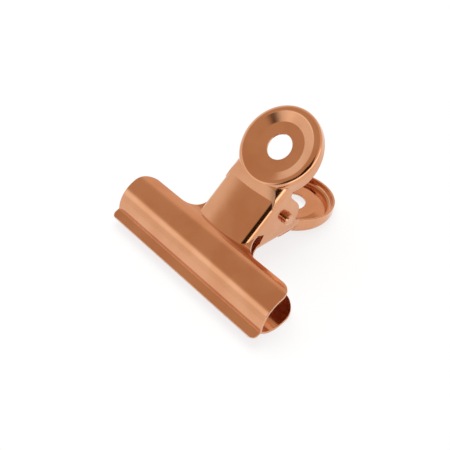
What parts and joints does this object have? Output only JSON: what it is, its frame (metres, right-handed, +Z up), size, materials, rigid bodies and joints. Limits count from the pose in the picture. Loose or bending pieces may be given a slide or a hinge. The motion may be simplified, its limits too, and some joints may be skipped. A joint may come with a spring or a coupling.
{
  "type": "bulldog clip",
  "caption": "Spring-loaded bulldog clip of copper-plated pressed sheet: wide round-backed jaws, hinged levers and round handles with hanging holes.",
  "frame": {"origin": "on the surface the clip lies on, under the middle of its outline", "axes": "+X along the jaws, +Y from the mouth to the handles, +Z up from the back lever to the front lever"},
  "size_m": [0.0506, 0.047, 0.0294],
  "materials": {
    "front_lever": "polished copper plate on steel",
    "back_lever": "polished copper plate on steel",
    "hinge_pin": "copper plate on steel",
    "torsion_spring": "copper plate on spring wire"
  },
  "bodies": {
    "base": {"back_lever": "back_lever", "hinge_pin": "hinge_pin", "torsion_spring": "torsion_spring"},
    "front": {"front_lever": "front_lever"}
  },
  "joints": [
    {"name": "lever_hinge", "type": "hinge", "parent": "base", "child": "front", "pos_m": [0, 0.00205, 0.01], "axis": [-1, 0, 0], "range_deg": [0, 70], "stiffness_Nm_per_rad": 0.2, "springref_deg": -42.97, "deforming": ["torsion_spring"]}
  ]
}
